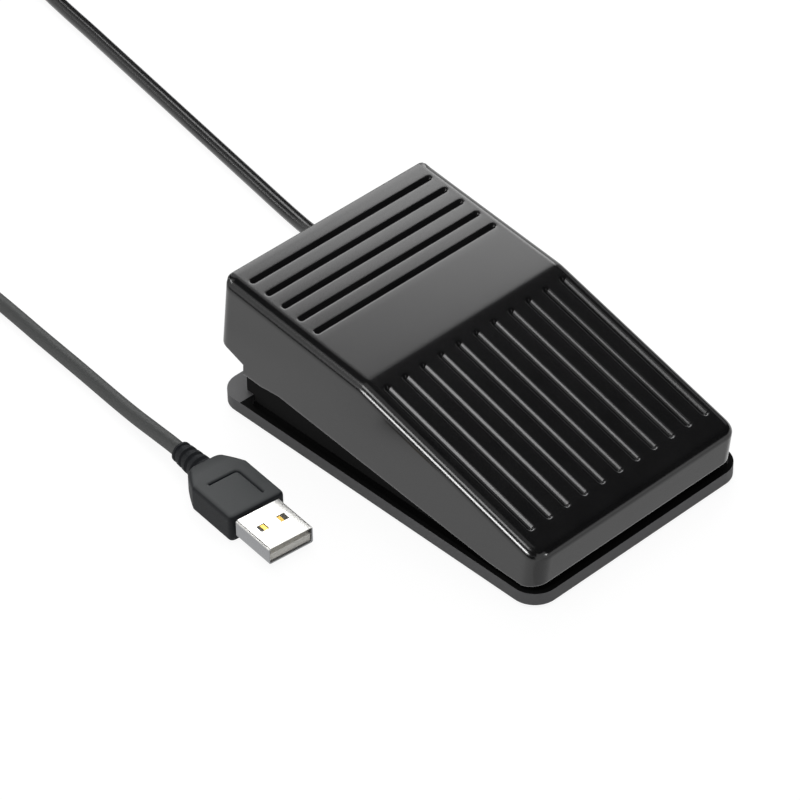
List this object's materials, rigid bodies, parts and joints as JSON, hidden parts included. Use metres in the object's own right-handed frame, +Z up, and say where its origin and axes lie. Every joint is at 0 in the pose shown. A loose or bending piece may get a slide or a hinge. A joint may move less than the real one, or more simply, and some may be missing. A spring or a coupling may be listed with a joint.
{
  "type": "usb foot pedal switch",
  "caption": "Wedge-shaped foot pedal hinged at its low front over a flat base, sprung, with a grooved tread, a lever switch and board inside, and a cord to a USB-A plug.",
  "frame": {"origin": "on the floor, under the centre of the base", "axes": "+X to the right seen from the front, +Y to the rear where the cord leaves, +Z up; the pedal's low hinged end is at -Y"},
  "size_m": [0.1104, 0.2719, 0.0361],
  "materials": {
    "pedal_abs": "moulded black ABS, semi-gloss",
    "base_abs": "moulded black ABS, satin",
    "rubber": "matte black rubber",
    "steel": "bright steel",
    "spring_steel": "drawn spring wire",
    "switch_body": "moulded black thermoset",
    "plunger_plastic": "red moulded plastic",
    "brass": "plated brass",
    "circuit_board": "green solder resist",
    "chip_resin": "black moulding resin",
    "crystal_can": "plated can",
    "capacitor_sleeve": "shrunk plastic sleeve",
    "nylon": "natural white nylon",
    "wire_jacket": "coloured wire insulation",
    "cord_pvc": "black flexible PVC",
    "tie_strap": "black hook and loop strap",
    "plug_pvc": "matte dark PVC overmould",
    "plug_shell": "nickel-plated steel"
  },
  "bodies": {
    "base": {"base_tray": "base_abs", "rubber_feet": "rubber", "hinge_pin": "steel", "pin_washers": "steel", "return_spring": "spring_steel", "bump_stops": "rubber", "switch_case": "switch_body", "switch_cover": "switch_body", "switch_terminals": "brass", "switch_screws": "steel", "controller_board": "circuit_board", "board_chip": "chip_resin", "board_crystal": "crystal_can", "board_capacitors": "capacitor_sleeve", "board_resistors": "chip_resin", "cord_socket": "nylon", "board_screws": "steel", "switch_wires": "wire_jacket", "cord_gland": "cord_pvc", "cord_inner": "cord_pvc", "cord_wires": "wire_jacket", "cord_clamp": "base_abs", "clamp_screws": "steel", "cord_lead": "cord_pvc", "cord_coil": "cord_pvc", "coil_tie": "tie_strap", "cord_tail": "cord_pvc", "plug_strain_relief": "plug_pvc", "plug_grip": "plug_pvc", "plug_shell": "plug_shell", "plug_tongue": "nylon", "plug_contacts": "brass"},
    "pedal": {"pedal_cover": "pedal_abs"},
    "lever": {"switch_lever": "steel"},
    "plunger": {"switch_plunger": "plunger_plastic"}
  },
  "joints": [
    {"name": "pedal_press", "type": "hinge", "parent": "base", "child": "pedal", "pos_m": [0, -0.044, 0.0085], "axis": [-1, 0, 0], "range_deg": [0, 4.5], "stiffness_Nm_per_rad": 2.5, "springref_deg": -7.45, "deforming": ["return_spring"]},
    {"name": "lever_swing", "type": "hinge", "parent": "base", "child": "lever", "pos_m": [-0.011, 0.0075, 0.0216], "axis": [-1, 0, 0], "range_deg": [0, 15.6]},
    {"name": "plunger_slide", "type": "slide", "parent": "base", "child": "plunger", "axis": [0, 0, -1], "range_m": [0, 0.0015]}
  ],
  "couplings": [
    {"joint": "lever_swing", "follows": "pedal_press", "ratio": 3.4444},
    {"joint": "plunger_slide", "follows": "pedal_press", "m_per_rad": 0.01909}
  ]
}
